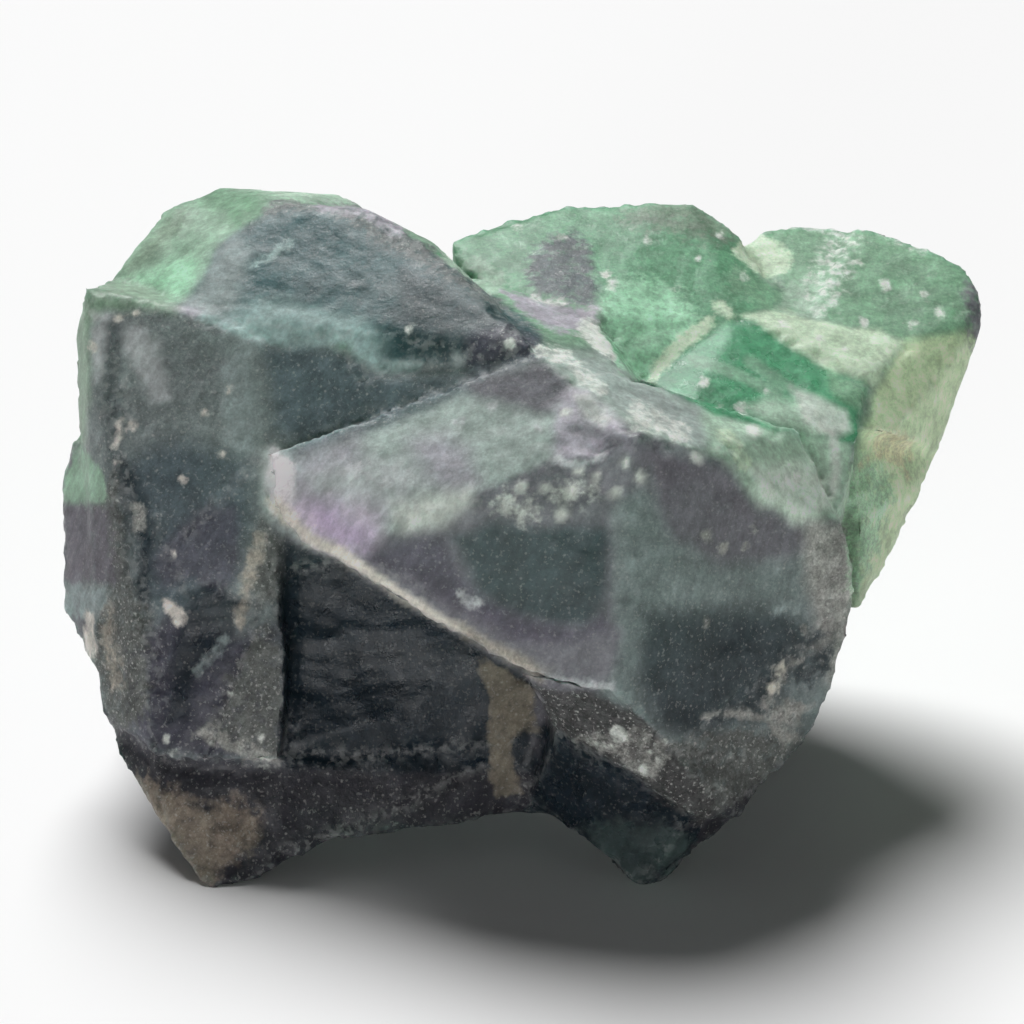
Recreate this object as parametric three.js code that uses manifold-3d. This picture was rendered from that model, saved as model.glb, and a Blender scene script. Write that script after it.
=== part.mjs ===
// A rough fluorite crystal: one broken lump of green and purple fluorite that stands on its own base.
// Millimetres, +X right, +Y back, +Z up. The lump formed in one piece, so it is one solid. Fluorite
// splits along flat cleavage planes, so the solid is a cluster of cleavage blocks, each the convex
// hull of its corners, joined in one and then chipped, split in ledges and made uneven.
import * as THREE from "three";
import { ConvexGeometry } from "three/addons/geometries/ConvexGeometry.js";
import { ImprovedNoise } from "three/addons/math/ImprovedNoise.js";
import { mergeVertices } from "three/addons/utils/BufferGeometryUtils.js";
import Module from "manifold-3d";

const wasm = await Module();
wasm.setup();

// Driving sizes.
const facetLength = 6; // longest edge left on the surface before it is made uneven
const waviness = 0.35; // how far a facet strays from its plane
const waveLength = 9; // distance from one swell of a facet to the next
const flatFoot = 1.5; // height over which the waviness dies out, so the base stays flat
const splitDepth = 0.5; // thickness of the slab that splits off beside a cleavage step
const splitReach = 14; // how far that slab reaches from the step

// Corners that more than one block shares.
const leftCrown = [-32, 1.5, 39.5];
const leftBrow = [-16.5, -3, 36.5];
const leftSpur = [-18.5, -7.5, 29.5];
const notch = [-10.5, -5.5, 35.5];
const saddle = [2, -8.5, 38.3];
const peak = [-18, 9, 43.3];
const prow = [-18, -9, 30.5];
const keel = [7.5, -22.2, 17];
const ridgeTop = [8.5, -16.8, 35.4];
const ridgeEnd = [24.5, -10.3, 25.7];
const shoulder = [26.5, -0.5, 32];
const valley = [10, -2, 33.5];
const slabEnd = [17, 4.5, 35.5];
const heelLeft = [-22.5, -19.5, 0];
const heelRight = [9.5, -19.3, 0];

// A closed three.js geometry as a manifold-3d solid.
function solidOf(geometry) {
  const bare = new THREE.BufferGeometry();
  bare.setAttribute("position", geometry.getAttribute("position"));
  if (geometry.index) bare.setIndex(geometry.index);
  const merged = mergeVertices(bare, 1e-4);
  return new wasm.Manifold(
    new wasm.Mesh({
      numProp: 3,
      vertProperties: merged.attributes.position.array,
      triVerts: new Uint32Array(merged.index.array),
    }),
  );
}

// The convex block whose corners are these points.
function block(...corners) {
  return solidOf(
    new ConvexGeometry(corners.map((corner) => new THREE.Vector3(...corner))),
  );
}

// The slabs that split off a facet on the left of a line, seen from outside. `treads` holds how far
// from the line each step of the flight begins, and each step is one slab deeper than the last.
function slabs(from, to, away, treads = [0]) {
  const start = new THREE.Vector3(...from);
  const outward = new THREE.Vector3(...away).normalize();
  const side = outward.clone().cross(new THREE.Vector3(...to).sub(start)).normalize();
  const along = side.clone().cross(outward);
  const length = start.distanceTo(new THREE.Vector3(...to));
  const frame = new THREE.Matrix4().makeBasis(along, side, outward).setPosition(start);
  return treads
    .map((tread, step) => {
      const slab = new THREE.BoxGeometry(length * 2, splitReach, 5);
      slab.translate(length / 2, splitReach / 2 + tread, 2.5 - splitDepth * (step + 1));
      return solidOf(slab.applyMatrix4(frame));
    })
    .reduce((joined, next) => joined.add(next));
}

const blocks = [
  // The thick middle of the lump, which carries every other block and stands on z = 0.
  block(
    [-24, -8, 0], [-23, 10, 0], [-14, 17, 0], [8, 17, 0], [18, 8, 0], [16, -8, 0],
    [-16, -14.5, 2.5], [2, -14.5, 3], [-29, 8, 18], [-20, 20, 14], [10, 21, 14], [24, 12, 20],
    [-16.5, -14.7, 8.5], [0, -14, 9], [-16.5, -8.5, 23], [-1, -13, 15], [22, -6, 16], [-28, 6, 32],
    [-20, 15, 34], [-6, 10, 36], [12, 12, 34], [22, 6, 31], [4, -6, 31], [-14, -5, 31],
  ),
  // The dark block on the left: its broad front leans back from the left foot.
  block(
    leftCrown, [-24.5, 0.5, 38.5], leftBrow, [-30.5, 8.5, 37.5], [-33, 3, 35],
    [-33, 1, 28], [-30, -3.5, 26], leftSpur, [-19.5, -11, 21], [-16.5, -15, 14], [-17, -16.5, 8.5],
    [-23, -16, 8.5], [-26.5, -14.7, 8], [-31.2, -9, 8.5], [-31.5, -8, 10],
    [-32, 10, 24], [-28, 12, 10], [-14, 4, 10], [-16, 6, 34],
  )
    .subtract(slabs([-18.5, -7.5, 29.5], [-27, -9.5, 20.5], [-0.25, -0.83, 0.46]))
    .subtract(slabs([-22.5, -15.5, 10], [-20, -13.5, 16.5], [-0.2, -0.9, 0.38]))
    .subtract(slabs([-32.8, 4, 22], [-32.6, 4.5, 34], [-0.98, 0.1, 0.05])),
  // The same front carried on to the right, under the hood, in a plane of its own.
  block(
    leftBrow, [-12, -4, 36.8], [-5, -6.5, 37], saddle, leftSpur, [-8, -8.5, 31.5],
    [-16.5, -9.5, 21], [-2, -9, 24], [-14, 4, 24], [0, 2, 30],
  ).subtract(
    block(
      [-12, -4, 36.8], notch, [-5, -6.8, 36], saddle, [-12, -8.2, 34.1], [-10.5, -9.7, 32.8],
      [-5, -11, 33.3], [2, -12.7, 35.6], [-12, -4, 43], [2, -8, 44], [-12, -10, 43], [2, -12, 44],
    ),
  ),
  // The left foot, under the ledge that ends the broad front.
  block(
    [-31, -8.5, 8.3], [-26.3, -14, 8], [-22.5, -15.2, 8.2], [-16.5, -15.2, 8.2], [-11.5, -14, 8.2],
    [-6, -13.7, 8.5], [0, -13.6, 8.4], [-30, -11.5, 6.5], [-26.5, -15.5, 5], [-24.5, -18, 1.5],
    heelLeft, [-20.5, -19.3, 0], [-16.8, -17, 1.5], [-13.5, -14.6, 2.5], [-24, -6, 0],
    [-16, -8, 0], [0, -14.4, 3], [-24, 0, 8], [0, -4, 4],
  ),
  // The thin chip that clings to the left side.
  block(
    [-33.5, 1.5, 27], [-31, -2.5, 26], [-30.5, -4, 24.5], [-28.7, -7.5, 21], [-29, -8.2, 19],
    [-34.5, -3, 14.5], [-34.5, -1, 19.5], [-34.5, 1, 23.5], [-33, -4.5, 14], [-32, -7, 11.5],
    [-31.5, -7.5, 14], [-33, 6, 25], [-33, 5, 16], [-28, 0, 20],
  ),
  // The hood: its dark face slopes down to the broad front.
  block(
    peak, [-22, 6, 41.3], [-24.5, 1, 38], [-22.8, -0.3, 37.6], leftBrow, [-12, -4, 37], notch,
    [-5, -6.5, 36.2], saddle, [-15.5, 8, 43.5], [-11, 7, 43.4], [-9.5, 5.5, 42.9], [-5.5, 3, 41.9],
    [-1, -2.5, 39.8], [-1, 1, 38.5], [-6, 8, 40.5], [-11.5, 12, 41.8], [-14, 12, 30], [-4, 0, 28],
    [-12, -3, 28], [-20, 3, 30],
  ),
  // The pale green block behind the hood.
  block(
    [-30.5, 8.5, 37.5], [-28.5, 10.5, 39.5], [-27, 13.5, 41], [-25, 14.5, 41.2], [-23, 17, 42],
    [-21.5, 16, 42.1], [-20.5, 18, 41.2], [-16.5, 17, 41.5], [-13, 15, 42], [-11.5, 12, 42], peak,
    [-22, 6, 41.3], [-24.5, 1, 38], [-31, 12, 29], [-27, 18, 24], [-20, 21.5, 29], [-13, 20, 24],
    [-11, 17.5, 32], [-10, 10, 34],
  ).subtract(slabs([-17.5, 20, 28], [-18.5, 18.2, 38], [0, 0.96, 0.25], [0, 2.6])),
  // The ridge block, nearest of all: its roof runs parallel to the hood and juts over a thin rim.
  block(
    prow, [-17.5, -11.5, 27], [-15.5, -13.3, 25.2], [-9.5, -16, 23], [-5, -18, 20.5],
    [-1, -19.7, 19], [2.5, -21, 18], keel, [-9.5, -16.2, 25], [-5.8, -16.6, 28.7],
    [-2.3, -17, 30.3], [3.4, -17.5, 32], ridgeTop, [6.2, -13.2, 36.4], saddle, [13.3, -15.6, 33.6],
    [16.2, -14.2, 31], [18.5, -13.5, 28], ridgeEnd, [21, -7.5, 32], [10, -6, 34.5], [-6, -6, 26],
    [4, -6, 18], [22, -4, 18],
  ),
  // The broad right face below the ridge, down to the right foot.
  block(
    ridgeTop, [18.5, -13.5, 28], ridgeEnd, keel, [25.5, -11, 19.5], [25, -12, 16],
    [24.5, -12.8, 13], [22.5, -14.6, 9.5], [9, -21.4, 14.7], [13.6, -19.8, 9.7],
    [16.5, -18.7, 7.5], [18.2, -17.3, 7], [16, -6, 6], [4, -8, 10], [20, -4, 18], [20, -2, 28],
    [2, -12, 16],
  ).subtract(slabs([21, -14.5, 17], [15, -18.5, 13.5], [0.5, -0.85, 0.16])),
  // The lower lip of the right face, with the right foot tucked in beneath it.
  block(
    [0.5, -17.5, 17], [4, -18.7, 17], [7.5, -20.8, 16.6], [9, -20.8, 14.5], [13, -20.3, 10],
    [16.5, -18.9, 7.5], [16.5, -18.9, 5.2], [3.5, -17.3, 11.5], [8, -20, 9.5], [12, -20.3, 7],
    [13.5, -20, 6], [20, -15, 8], [18, -16.5, 6.5], [2, -6, 8], [17, -6, 4],
  ),
  block(
    [3.2, -16.6, 11.2], [8, -19.5, 9.4], [13, -19.6, 6.6], [17, -17.5, 5.5], [0.5, -14.3, 4.5],
    [3.5, -15.5, 2.7], [6.5, -18.3, 1.8], [14, -18.5, 3], heelRight, [11, -18.8, 0], [13, -8, 0],
    [0, -6, 0], [17, -6, 4], [2, -6, 12],
  ),
  // The saturated green step behind the ridge.
  block(
    valley, slabEnd, [17.5, 5, 35.4], [26.5, 0.9, 32.3], shoulder, [26, -5, 29.7],
    [24.5, -9, 26.5], [13, -6, 32.8],
    [19.5, -6.5, 31.5],
    [10, 2, 22], [24, 2, 20], [24, -7, 20], [12, -6, 22],
  ),
  // The low lilac ledge in the valley between the hood and the slab.
  block(
    [-4, 7.5, 38.3], [-1.5, 6.2, 37.4], [6.4, 2.3, 36.4], valley, [9, -9.4, 35.6], [4, -9.4, 37.2],
    [2, -5.5, 37.7], [-2, -2, 38],
    [-4, 6, 28], [8, 4, 28], [8, -4, 28], [-2, -4, 28],
  ),
  // The long green slab at the back.
  block(
    [-5, 12.5, 39], [-1, 15, 39.5], [4, 16.5, 40.4], [8.5, 17.5, 40.6], [12, 18, 40.9],
    [14.5, 17.5, 40.5], [15.5, 16.5, 39.5], [18, 15, 38.5], [21, 8.5, 35.5], [-4.5, 10, 38.3],
    [-1, 6, 37], [2.5, 3.5, 36.7], [6.5, 2.5, 36.5], valley, [16, 7, 36], slabEnd, [-4, 20, 26],
    [14, 23, 24], [0, 4, 24], [14, -2, 22], [22, 8, 22],
  ).subtract(slabs([6, 21.6, 28], [3, 19, 38], [-0.1, 0.94, 0.3], [0, 3.4])),
  // The pale shelf between the slab, the green step and the wing.
  block(
    [16, 7, 36], slabEnd, [26.7, 0.3, 32.6], [30, 4.5, 33.4], [27, 6, 34], [21, 8.5, 35.5],
    [16, 6, 24], [26, 2, 22], [26, 8, 24],
  ),
  // The wing on the right, which overhangs the base.
  block(
    [18, 14.5, 38.5], [20, 17, 38.6], [22.5, 18, 38.7], [26, 18, 38.5], [28.5, 17.5, 38.2],
    [32, 16, 37.3], [35.5, 13.5, 36.2], [36.6, 10.8, 35.2], [36.4, 9, 33.6], [35.3, 8, 31.5],
    [34, 6.5, 28], [33, 4, 24.5], [29.7, 0.5, 20], [28.4, -2, 17], [26.6, -4, 15], [30, 4.5, 33.4],
    [27, 5.5, 34], [26.9, 0.4, 31.9], [26, -5, 27], [36, 14, 29], [30, 19.5, 25], [16, 21.5, 27],
    [17, 20, 12], [26, 12, 11], [20, 0, 12],
  )
    .subtract(slabs([23, 8, 35.5], [26.5, 16.5, 38], [0.07, -0.32, 0.94]))
    .subtract(slabs([33, 4, 24.5], [27, -2, 29], [0.75, -0.58, 0.31]))
    .subtract(slabs([27, 20, 27], [26, 18.8, 37], [0.3, 0.93, 0.15])),
  // The low wall that closes the valley at the back.
  block(
    [-14, 17, 36], [-3, 17.5, 35.5], [-3, 9, 37], [-12, 8, 38], [-16, 19, 22], [-2, 20, 22],
    [-3, 4, 24], [-12, 4, 24],
  ),
  // The buttress at the back, and the block beside it on the left.
  block(
    [-9, 14, 0], [7, 15, 0], [11, 11, 0], [-12, 18, 9], [9, 21.5, 7], [-9, 22.5, 20],
    [6, 23.5, 17], [11.5, 20, 22], [-4, 21, 30], [5, 18, 31], [-8, 8, 12], [8, 8, 12],
  ).subtract(slabs([3, 23, 10], [0, 22.6, 24], [0, 0.99, 0.05], [0, 1.7])),
  block(
    [-25, 2, 0.5], [-17, 15, 0.5], [-31.5, 5, 11], [-29, 14, 9], [-19, 21, 7], [-13, 21.5, 12],
    [-22, 21, 23], [-30.5, 11, 24], [-14, 20.5, 25], [-16, 8, 4], [-14, 8, 26],
  )
    .subtract(slabs([-18.5, 21.2, 10], [-17.5, 21, 22], [-0.15, 0.98, 0.05]))
    .subtract(slabs([-25, 17.5, 13], [-30, 12, 14], [-0.75, 0.66, 0], [0, 4.2])),
  // The slanting prop under the wing.
  block(
    [12, 13, 0], [18, 5, 0], [17, -2, 0], [10, 2, 0], [20, 15, 7], [24, 6, 8], [22.5, -4, 9],
    [25, 16, 17], [27, 4, 17], [16, 20, 16], [12, 20, 8], [10, 6, 18],
  ),
];

// The hollow under the front, between the two feet.
const arch = block(
  [-20, -26, -1], [8.5, -26, -1], [-20, -26, -0.2], [-13.5, -26, 2.4], [0, -26, 2.8],
  [4, -26, 2.6], [8, -26, 0.8], [-20, -12, -0.2], [-13.5, -14.4, 2.4], [0, -14.3, 2.8],
  [4, -14.5, 2.6], [8.5, -14, 0.8], [-14, -5, -1], [2, -5, -1],
);

// Blocks that don't quite meet inside trap a bubble. The outer skin alone is the solid lump.
function outerSkin(solid) {
  return solid.decompose().sort((a, b) => b.volume() - a.volume())[0];
}

// Splits every edge longer than `longest` at its middle, over and over until none is left.
function splitEdges(corners, faces, longest) {
  const middles = new Map();
  const ringSide = (a, b) => {
    if (corners[a].distanceTo(corners[b]) <= longest) return [a];
    const key = Math.min(a, b) + "-" + Math.max(a, b);
    if (!middles.has(key)) {
      middles.set(key, corners.length);
      corners.push(corners[a].clone().lerp(corners[b], 0.5));
    }
    return [a, middles.get(key)];
  };
  const smaller = faces.flatMap(([a, b, c]) => {
    const sides = [ringSide(a, b), ringSide(b, c), ringSide(c, a)];
    while (sides.some((side) => side.length > 1) && sides[0].length === 1) sides.push(sides.shift());
    const ring = sides.flat();
    if (ring.length === 3) return [ring];
    const [start, hub, ...rim] = ring;
    rim.push(start);
    return rim.slice(1).map((corner, i) => [hub, rim[i], corner]);
  });
  return middles.size ? splitEdges(corners, smaller, longest) : smaller;
}

// Natural unevenness: every corner strays a little, less and less towards the flat base.
const noise = new ImprovedNoise();
function stray(corner) {
  const [x, y, z] = corner.toArray().map((value) => value / waveLength);
  const reach = waviness * Math.min(1, corner.z / flatFoot);
  corner.x += reach * noise.noise(x, y, z + 11);
  corner.y += reach * noise.noise(x + 23, y, z);
  corner.z += reach * noise.noise(x, y + 37, z);
}

// A three.js geometry of a manifold-3d solid, with its facets split finer and made uneven.
function unevenGeometry(solid) {
  const mesh = solid.getMesh();
  const corners = [];
  for (let i = 0; i < mesh.vertProperties.length; i += 3) {
    corners.push(new THREE.Vector3().fromArray(mesh.vertProperties, i));
  }
  const faces = [];
  for (let i = 0; i < mesh.triVerts.length; i += 3) {
    faces.push([...mesh.triVerts.slice(i, i + 3)]);
  }
  const fine = splitEdges(corners, faces, facetLength);
  corners.forEach(stray);
  const geometry = new THREE.BufferGeometry().setFromPoints(corners);
  geometry.setIndex(fine.flat());
  return geometry;
}

const cluster = outerSkin(blocks.reduce((joined, next) => joined.add(next)));
const lump = cluster.subtract(arch);

// The part's origin is the middle of its outline on the ground.
const surface = unevenGeometry(lump);
surface.computeBoundingBox();
const { min, max } = surface.boundingBox;
surface.translate(-(min.x + max.x) / 2, -(min.y + max.y) / 2, -min.z);

const crystal = new THREE.Mesh(
  surface,
  new THREE.MeshStandardMaterial({ color: 0x5c7f73, roughness: 0.45, metalness: 0 }),
);
crystal.name = "fluorite_crystal";

const part = new THREE.Group();
part.add(crystal);
export default part;
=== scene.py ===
# %% [markdown]
# # A rough fluorite crystal
# Fluorite grows in clear layers of green and purple and splits along flat cleavage planes. This
# piece is one broken lump: dark and glassy in front, pale green where it is thin, and frosted
# white wherever it has been knocked. The lesson takes the lump's plain solid and gives it the fine
# relief, the stains of colour and the see-through body that make it look like stone.

# %% Load the solid that everything is made from
import math

import bmesh
import bpy
import numpy as np
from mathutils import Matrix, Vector, bvhtree, kdtree, noise


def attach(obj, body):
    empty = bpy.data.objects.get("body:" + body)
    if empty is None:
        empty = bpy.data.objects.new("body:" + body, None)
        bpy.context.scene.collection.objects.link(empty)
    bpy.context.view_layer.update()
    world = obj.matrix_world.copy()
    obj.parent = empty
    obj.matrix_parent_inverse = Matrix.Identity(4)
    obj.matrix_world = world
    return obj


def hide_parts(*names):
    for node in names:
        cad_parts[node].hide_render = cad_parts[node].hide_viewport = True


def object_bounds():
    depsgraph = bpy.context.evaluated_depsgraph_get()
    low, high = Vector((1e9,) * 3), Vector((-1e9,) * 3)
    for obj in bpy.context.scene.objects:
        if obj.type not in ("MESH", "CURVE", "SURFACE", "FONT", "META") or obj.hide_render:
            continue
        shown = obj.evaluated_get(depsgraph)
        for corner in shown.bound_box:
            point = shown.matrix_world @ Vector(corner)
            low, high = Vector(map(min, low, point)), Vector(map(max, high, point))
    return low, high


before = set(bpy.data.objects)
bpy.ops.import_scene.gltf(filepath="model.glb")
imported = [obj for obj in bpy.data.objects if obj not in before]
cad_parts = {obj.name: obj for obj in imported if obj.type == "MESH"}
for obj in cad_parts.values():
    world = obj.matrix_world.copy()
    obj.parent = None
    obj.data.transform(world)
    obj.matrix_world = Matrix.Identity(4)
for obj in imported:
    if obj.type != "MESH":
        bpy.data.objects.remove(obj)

MM = 0.001
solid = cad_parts["fluorite_crystal"]
solid_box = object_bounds()
lump_middle = (solid_box[0] + solid_box[1]) / 2
lump_size = solid_box[1] - solid_box[0]
print("solid, mm:", [round(side / MM, 1) for side in lump_size])

# %% [markdown]
# ## Camera
# A long lens from a little above, as in a close-up of a small stone on a table. A short lens close
# by would make the near ridge swell.


# %% Camera
def add_object(name, data):
    """Puts a mesh, lamp or camera into the scene."""
    new = bpy.data.objects.new(name, data)
    bpy.context.scene.collection.objects.link(new)
    return new


view_height = math.radians(25)
view_distance = 0.26
towards_camera = Vector((0, -math.cos(view_height), math.sin(view_height)))
aim = lump_middle + Vector((-1.0, -0.6, -0.28)) * MM  # a little off the middle, to leave even margins

lens = bpy.data.cameras.new("camera")
lens.lens = 120
lens.sensor_width = 36
lens.clip_start = 0.01
camera = add_object("camera", lens)
camera.location = aim + towards_camera * view_distance
camera.rotation_euler = (-towards_camera).to_track_quat("-Z", "Y").to_euler()
bpy.context.scene.camera = camera
bpy.context.scene.view_settings.view_transform = "Standard"
print("camera at, mm:", [round(value / MM) for value in camera.location])

# %% [markdown]
# ## Light and floor
# One broad soft light stands high behind the stone and somewhat to its left, so the tops glow and the
# front stays dark. A sun lamp with a wide disc gives that light evenly over the whole floor, which a
# lamp close by wouldn't. A weaker one shines almost level from the front: it lights the front facets
# and hardly touches the floor. The sky is nearly black, so that the shadow stays deep.


# %% Light and floor
def plain_material(name, colour, roughness):
    material = bpy.data.materials.new(name)
    material.use_nodes = True
    shader = material.node_tree.nodes["Principled BSDF"]
    shader.inputs["Base Color"].default_value = (*colour, 1)
    shader.inputs["Roughness"].default_value = roughness
    return material


def add_sun(name, energy, width, source):
    """A sun lamp that shines from a direction, with a disc so many degrees wide."""
    lamp = bpy.data.lights.new(name, "SUN")
    lamp.energy = energy
    lamp.angle = math.radians(width)
    turn = Vector(source).normalized().to_track_quat("Z", "Y")
    add_object(name, lamp).rotation_euler = turn.to_euler()


add_sun("softbox", energy=4.0, width=30, source=(-0.20, 0.66, 1))
add_sun("fill", energy=1.3, width=16, source=(-0.25, -0.9, 0.05))

sky = bpy.data.worlds.new("sky")
bpy.context.scene.world = sky
sky.use_nodes = True
sky.node_tree.nodes["Background"].inputs["Color"].default_value = (1, 1, 1, 1)
sky.node_tree.nodes["Background"].inputs["Strength"].default_value = 0.03

floor_shape = bmesh.new()
bmesh.ops.create_grid(floor_shape, x_segments=1, y_segments=1, size=3.0)
floor_mesh = bpy.data.meshes.new("floor")
floor_shape.to_mesh(floor_mesh)
floor_shape.free()
floor_mesh.materials.append(plain_material("floor", (0.86, 0.86, 0.86), 0.9))
add_object("floor", floor_mesh)
print("lights:", len(bpy.data.lights), "and a floor", round(floor_mesh.vertices[-1].co.x * 2), "m wide")

# %% [markdown]
# ## An even skin for the lump
# The solid has long thin triangles, which can't carry fine relief. The Remesh modifier covers it with
# even little squares, Shrinkwrap pulls them back on to the true flat facets, and a little smoothing
# takes off the last steps. The copy is merged first, because the solid's triangles are loose.

# %% Even skin
grain = 0.40 * MM

skin_shape = bmesh.new()
skin_shape.from_mesh(solid.data)
bmesh.ops.remove_doubles(skin_shape, verts=skin_shape.verts, dist=1e-6)
facet_tree = bvhtree.BVHTree.FromBMesh(skin_shape)
merged_mesh = bpy.data.meshes.new("crystal_plain")
skin_shape.to_mesh(merged_mesh)
crystal = add_object("crystal", merged_mesh)

remesh = crystal.modifiers.new("even", "REMESH")
remesh.mode = "VOXEL"
remesh.voxel_size = grain
wrap = crystal.modifiers.new("flat facets", "SHRINKWRAP")
wrap.target = solid
wrap.wrap_method = "NEAREST_SURFACEPOINT"
evaluated = crystal.evaluated_get(bpy.context.evaluated_depsgraph_get())
crystal.data = bpy.data.meshes.new_from_object(evaluated)
crystal.modifiers.clear()
crystal.data.materials.clear()
bpy.data.meshes.remove(merged_mesh)

skin = bmesh.new()
skin.from_mesh(crystal.data)
all_ways = dict(use_axis_x=True, use_axis_y=True, use_axis_z=True)
for smoothing in range(2):
    bmesh.ops.smooth_vert(skin, verts=skin.verts, factor=0.5, **all_ways)
skin.to_mesh(crystal.data)
skin.free()
print("skin:", len(crystal.data.vertices), "points,", len(crystal.data.polygons), "faces")

# %% [markdown]
# ## Which facet, and how near its edge
# Colour, frost and wear all depend on where a point lies: on which facet, and how far from a sharp
# edge. The nearest facet of the plain solid gives the direction, and a k-d tree of points strung
# along the solid's sharp outward edges gives the distance.


# %% Facets and edges
def points_along_sharp_edges(shape, least_angle, spacing):
    """Points strung along every outward edge that bends by more than least_angle."""
    strung = []
    for edge in shape.edges:
        if edge.is_manifold and edge.calc_face_angle_signed() > least_angle:
            start, end = (corner.co for corner in edge.verts)
            count = max(2, int((end - start).length / spacing) + 1)
            strung += [start.lerp(end, step / (count - 1)) for step in range(count)]
    return strung


def tree_of(points):
    tree = kdtree.KDTree(len(points))
    for index, point in enumerate(points):
        tree.insert(point, index)
    tree.balance()
    return tree


sharp = math.radians(24)
edge_points = points_along_sharp_edges(skin_shape, sharp, spacing=0.3 * MM)
edge_tree = tree_of(edge_points)
skin_shape.free()

skin_points = [vertex.co.copy() for vertex in crystal.data.vertices]
facing = np.array([facet_tree.find_nearest(point)[1] for point in skin_points])
edge_distance = np.array([edge_tree.find(point)[2] for point in skin_points]) / MM
place = np.array(skin_points) / MM
print(len(edge_points), "edge points")
print("share of the skin within 1 mm of an edge:", (edge_distance < 1).mean().round(2))

# %% [markdown]
# ## Fine relief
# Broken fluorite has four kinds of fine relief: low terraces where the cleavage jumped from one
# layer to the next, shallow bowls left by flakes, chipped edges, and round knobs where the ridge's
# crest has been knocked. Each sinks the surface a little. Sculpting could do it, but seeded noise
# gives the same stone on every run.


# %% Fine relief
def noise_at(points, size, seed=0.0):
    """Smooth noise from -1 to 1 whose swells are `size` mm across."""
    offset = Vector((seed, seed * 1.7, -seed))
    return np.array([noise.noise(Vector(point) / size + offset) for point in points])


def ramp(values, low, high):
    """0 below low, 1 above high, and smooth between."""
    share = np.clip((values - low) / (high - low), 0, 1)
    return share * share * (3 - 2 * share)


def bowls(points, size, seed):
    """Shallow bowls with crisp rims, 1 at a bowl's middle and 0 at its rim, as flakes leave them."""
    offset = Vector((seed, -seed, seed * 0.6))
    rim = np.array([noise.voronoi(Vector(point) / size + offset)[0][0] for point in points])
    return 1 - np.clip(rim / 0.8, 0, 1) ** 2


swell = noise_at(place, size=5.0, seed=3.1)
ripple = noise_at(place, size=1.6, seed=7.7)
crumble = noise_at(place, size=0.7, seed=1.3)
warped = place + 0.8 * np.column_stack([swell, ripple, swell * ripple])

layering = noise_at(place * [1, 1, 2.2], size=9.0, seed=12.4) * 4 + ripple * 0.25
terrace_height = 0.06  # all heights, depths and widths of the relief are in mm
terrace = np.floor(layering) + ramp(layering - np.floor(layering), 0.0, 0.2)
terraced = terrace_height * (terrace - layering) + 0.05 + 0.05 * np.abs(ripple) + 0.03 * np.abs(crumble)

# flakes are deepest where the stone is broken, which is mostly low down
broken = ramp(noise_at(place, size=14.0, seed=5.5) + 0.9 - place[:, 2] / 22, -0.2, 0.5)
large_flakes = (0.10 + 0.22 * broken) * bowls(warped, size=5.5, seed=2.0)
small_flakes = (0.03 + 0.07 * broken) * bowls(warped, size=1.9, seed=9.0)

chip_width = 0.55 + 0.4 * swell
chipping = np.exp(-((edge_distance / chip_width) ** 2)) * ramp(ripple + crumble, -0.5, 0.6)

crest = np.array([4.0, -17.0, 33.0])  # the middle of the ridge's crest
crest_reach = 5.0
near_crest = np.exp(-((np.linalg.norm(place - crest, axis=1) / crest_reach) ** 2))
knobs = near_crest * (1 - bowls(warped, size=2.6, seed=14.0))
print("share of the skin that is chipped:", (chipping > 0.5).mean().round(2))

# %% [markdown]
# ## Carving the relief
# The four kinds are added up, in mm, and each point of the skin sinks in by the sum. Nothing sinks
# below a set depth, and the relief fades out towards the base, so the stone still stands flat.

# %% Carve
chip_depth = 0.28
knob_depth = 0.7
deepest = 1.0

outward = np.array([vertex.normal for vertex in crystal.data.vertices])
away_from_base = ramp(place[:, 2], 0.3, 2.0)
sunk = terraced + chip_depth * chipping + (large_flakes + small_flakes) + knob_depth * knobs
sunk = np.clip(sunk, 0, deepest) * away_from_base
carved = (place - outward * sunk[:, None]) * MM
crystal.data.vertices.foreach_set("co", carved.ravel())
crystal.data.shade_smooth()
print("relief, mm: mean", sunk.mean().round(3), "deepest", sunk.max().round(2))
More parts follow.
